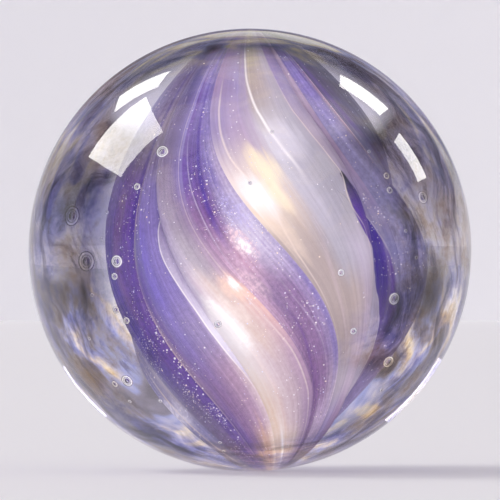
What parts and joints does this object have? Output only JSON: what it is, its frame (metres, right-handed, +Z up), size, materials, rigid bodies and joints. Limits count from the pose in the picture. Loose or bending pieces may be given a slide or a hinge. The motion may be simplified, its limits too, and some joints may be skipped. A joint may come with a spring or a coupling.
{
  "type": "glass marble",
  "caption": "Handmade clear glass ball with a twisted spindle core of pearl, mauve, violet and lavender ribbons and small bubbles.",
  "frame": {"origin": "centre of the ball", "axes": "+Z up along the core towards its upper end, -Y towards the front face with the broad pearl ribbon, +X to the right"},
  "size_m": [0.025, 0.025, 0.025],
  "materials": {
    "clear_glass": "clear, fire polished, with bubbles",
    "pearl_glass": "opal white with a pearly sheen and fine flow lines",
    "mauve_glass": "mauve with pink, gold and lavender glitter",
    "violet_glass": "deep violet, streaked",
    "lavender_glass": "cloudy lavender blue, streaked"
  },
  "bodies": {
    "root": {"clear_casing": "clear_glass", "lavender_ribbon_left": "lavender_glass", "pearl_ribbon_left": "pearl_glass", "mauve_ribbon_front": "mauve_glass", "pearl_ribbon_front": "pearl_glass", "violet_ribbon_right": "violet_glass", "lavender_ribbon_right": "lavender_glass", "pearl_ribbon_back_right": "pearl_glass", "mauve_ribbon_back": "mauve_glass", "pearl_ribbon_back_left": "pearl_glass", "violet_ribbon_left": "violet_glass"}
  },
  "joints": []
}
